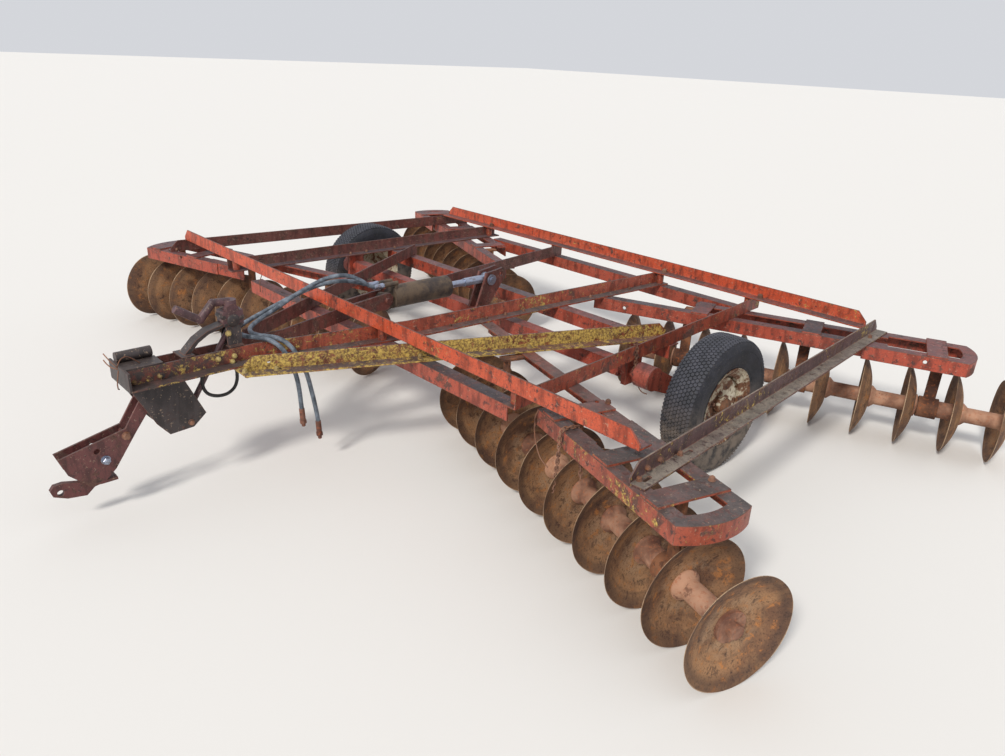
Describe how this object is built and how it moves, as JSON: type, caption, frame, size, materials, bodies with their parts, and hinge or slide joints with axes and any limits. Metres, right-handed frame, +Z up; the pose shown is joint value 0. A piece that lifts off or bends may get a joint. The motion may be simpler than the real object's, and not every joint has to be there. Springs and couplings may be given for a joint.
{
  "type": "disc harrow",
  "caption": "Towed tandem disc harrow: angle iron frame, four gangs of dished discs, two carrying wheels on a rockshaft raised by a hydraulic cylinder, and a hinged drawbar.",
  "frame": {"origin": "centre of the harrow's bounding box in plan, on the ground", "axes": "+X to the harrow's left, +Y to its rear, +Z up"},
  "size_m": [5.2092, 4.1934, 0.876],
  "materials": {
    "paint": "faded and rusted",
    "dark_paint": "dark rusted",
    "lichen": "rusted, with lichen",
    "rust": "rusted",
    "casting": "rusted",
    "disc": "rusted and pitted",
    "wheel": "chipped and rusted",
    "tyre": "worn",
    "cylinder": "weathered",
    "rod": "bright",
    "hose": "weathered"
  },
  "bodies": {
    "frame": {"front_cross_angle": "paint", "rear_cross_angle": "paint", "main_rail_left": "paint", "main_rail_right": "paint", "outer_rail_left": "dark_paint", "outer_rail_right": "dark_paint", "centre_beam_left": "paint", "centre_beam_right": "paint", "tongue_brace_left": "lichen", "tongue_brace_right": "dark_paint", "front_tie_bar": "paint", "rear_tie_bar": "paint", "middle_tie_bar": "paint", "spacer_sleeves": "paint", "gang_frame_front_left": "paint", "gang_frame_front_right": "paint", "gang_frame_rear_left": "paint", "gang_frame_rear_right": "paint", "hangers_front_left": "rust", "hangers_front_right": "rust", "hangers_rear_left": "rust", "hangers_rear_right": "rust", "rock_bearings": "paint", "cylinder_anchor": "rust", "hitch_head": "dark_paint", "hitch_bracket": "dark_paint", "levelling_crank": "rust", "crank_strap": "rust"},
    "rockshaft": {"rockshaft": "paint", "wheel_arm_left": "rust", "wheel_arm_right": "rust", "lift_arm": "rust"},
    "wheel_left": {"rim_left": "wheel", "tyre_left": "tyre"},
    "wheel_right": {"rim_right": "wheel", "tyre_right": "tyre"},
    "barrel": {"cylinder_barrel": "cylinder", "hose_a": "hose", "hose_b": "hose"},
    "rod": {"cylinder_rod": "rod"},
    "gang_front_left": {"discs_front_left": "disc", "spools_front_left": "casting"},
    "gang_front_right": {"discs_front_right": "disc", "spools_front_right": "casting"},
    "gang_rear_left": {"discs_rear_left": "disc", "spools_rear_left": "casting"},
    "gang_rear_right": {"discs_rear_right": "disc", "spools_rear_right": "casting"},
    "drawbar": {"drawbar": "rust"}
  },
  "joints": [
    {"name": "rockshaft_lift", "type": "hinge", "parent": "frame", "child": "rockshaft", "pos_m": [0, 0.318, 0.49], "axis": [1, 0, 0], "range_deg": [0, 30]},
    {"name": "wheel_left_spin", "type": "hinge", "parent": "rockshaft", "child": "wheel_left", "pos_m": [1.539, 0.6015, 0.355], "axis": [1, 0, 0], "continuous": true},
    {"name": "wheel_right_spin", "type": "hinge", "parent": "rockshaft", "child": "wheel_right", "pos_m": [-1.539, 0.6015, 0.355], "axis": [1, 0, 0], "continuous": true},
    {"name": "barrel_pivot", "type": "hinge", "parent": "frame", "child": "barrel", "pos_m": [0.05, -0.382, 0.701], "axis": [1, 0, 0], "range_deg": [-1, 1]},
    {"name": "rod_slide", "type": "slide", "parent": "barrel", "child": "rod", "axis": [0, 1, -0.0053], "range_m": [-0.1112, 0]},
    {"name": "gang_front_left_spin", "type": "hinge", "parent": "frame", "child": "gang_front_left", "pos_m": [2.297, -0.635, 0.2295], "axis": [0.9563, -0.2924, 0], "continuous": true},
    {"name": "gang_front_right_spin", "type": "hinge", "parent": "frame", "child": "gang_front_right", "pos_m": [-2.297, -0.635, 0.2295], "axis": [0.9563, 0.2924, 0], "continuous": true},
    {"name": "gang_rear_left_spin", "type": "hinge", "parent": "frame", "child": "gang_rear_left", "pos_m": [2.3, 1.808, 0.2295], "axis": [0.9367, 0.3502, 0], "continuous": true},
    {"name": "gang_rear_right_spin", "type": "hinge", "parent": "frame", "child": "gang_rear_right", "pos_m": [-2.3, 1.808, 0.2295], "axis": [0.9367, -0.3502, 0], "continuous": true},
    {"name": "drawbar_hinge", "type": "hinge", "parent": "frame", "child": "drawbar", "pos_m": [0.088, -1.602, 0.595], "axis": [1, 0, 0], "range_deg": [-25, 0]}
  ],
  "couplings": [
    {"joint": "barrel_pivot", "follows": "rockshaft_lift", "ratio": 0.004},
    {"joint": "rod_slide", "follows": "rockshaft_lift", "m_per_rad": -0.2105}
  ]
}
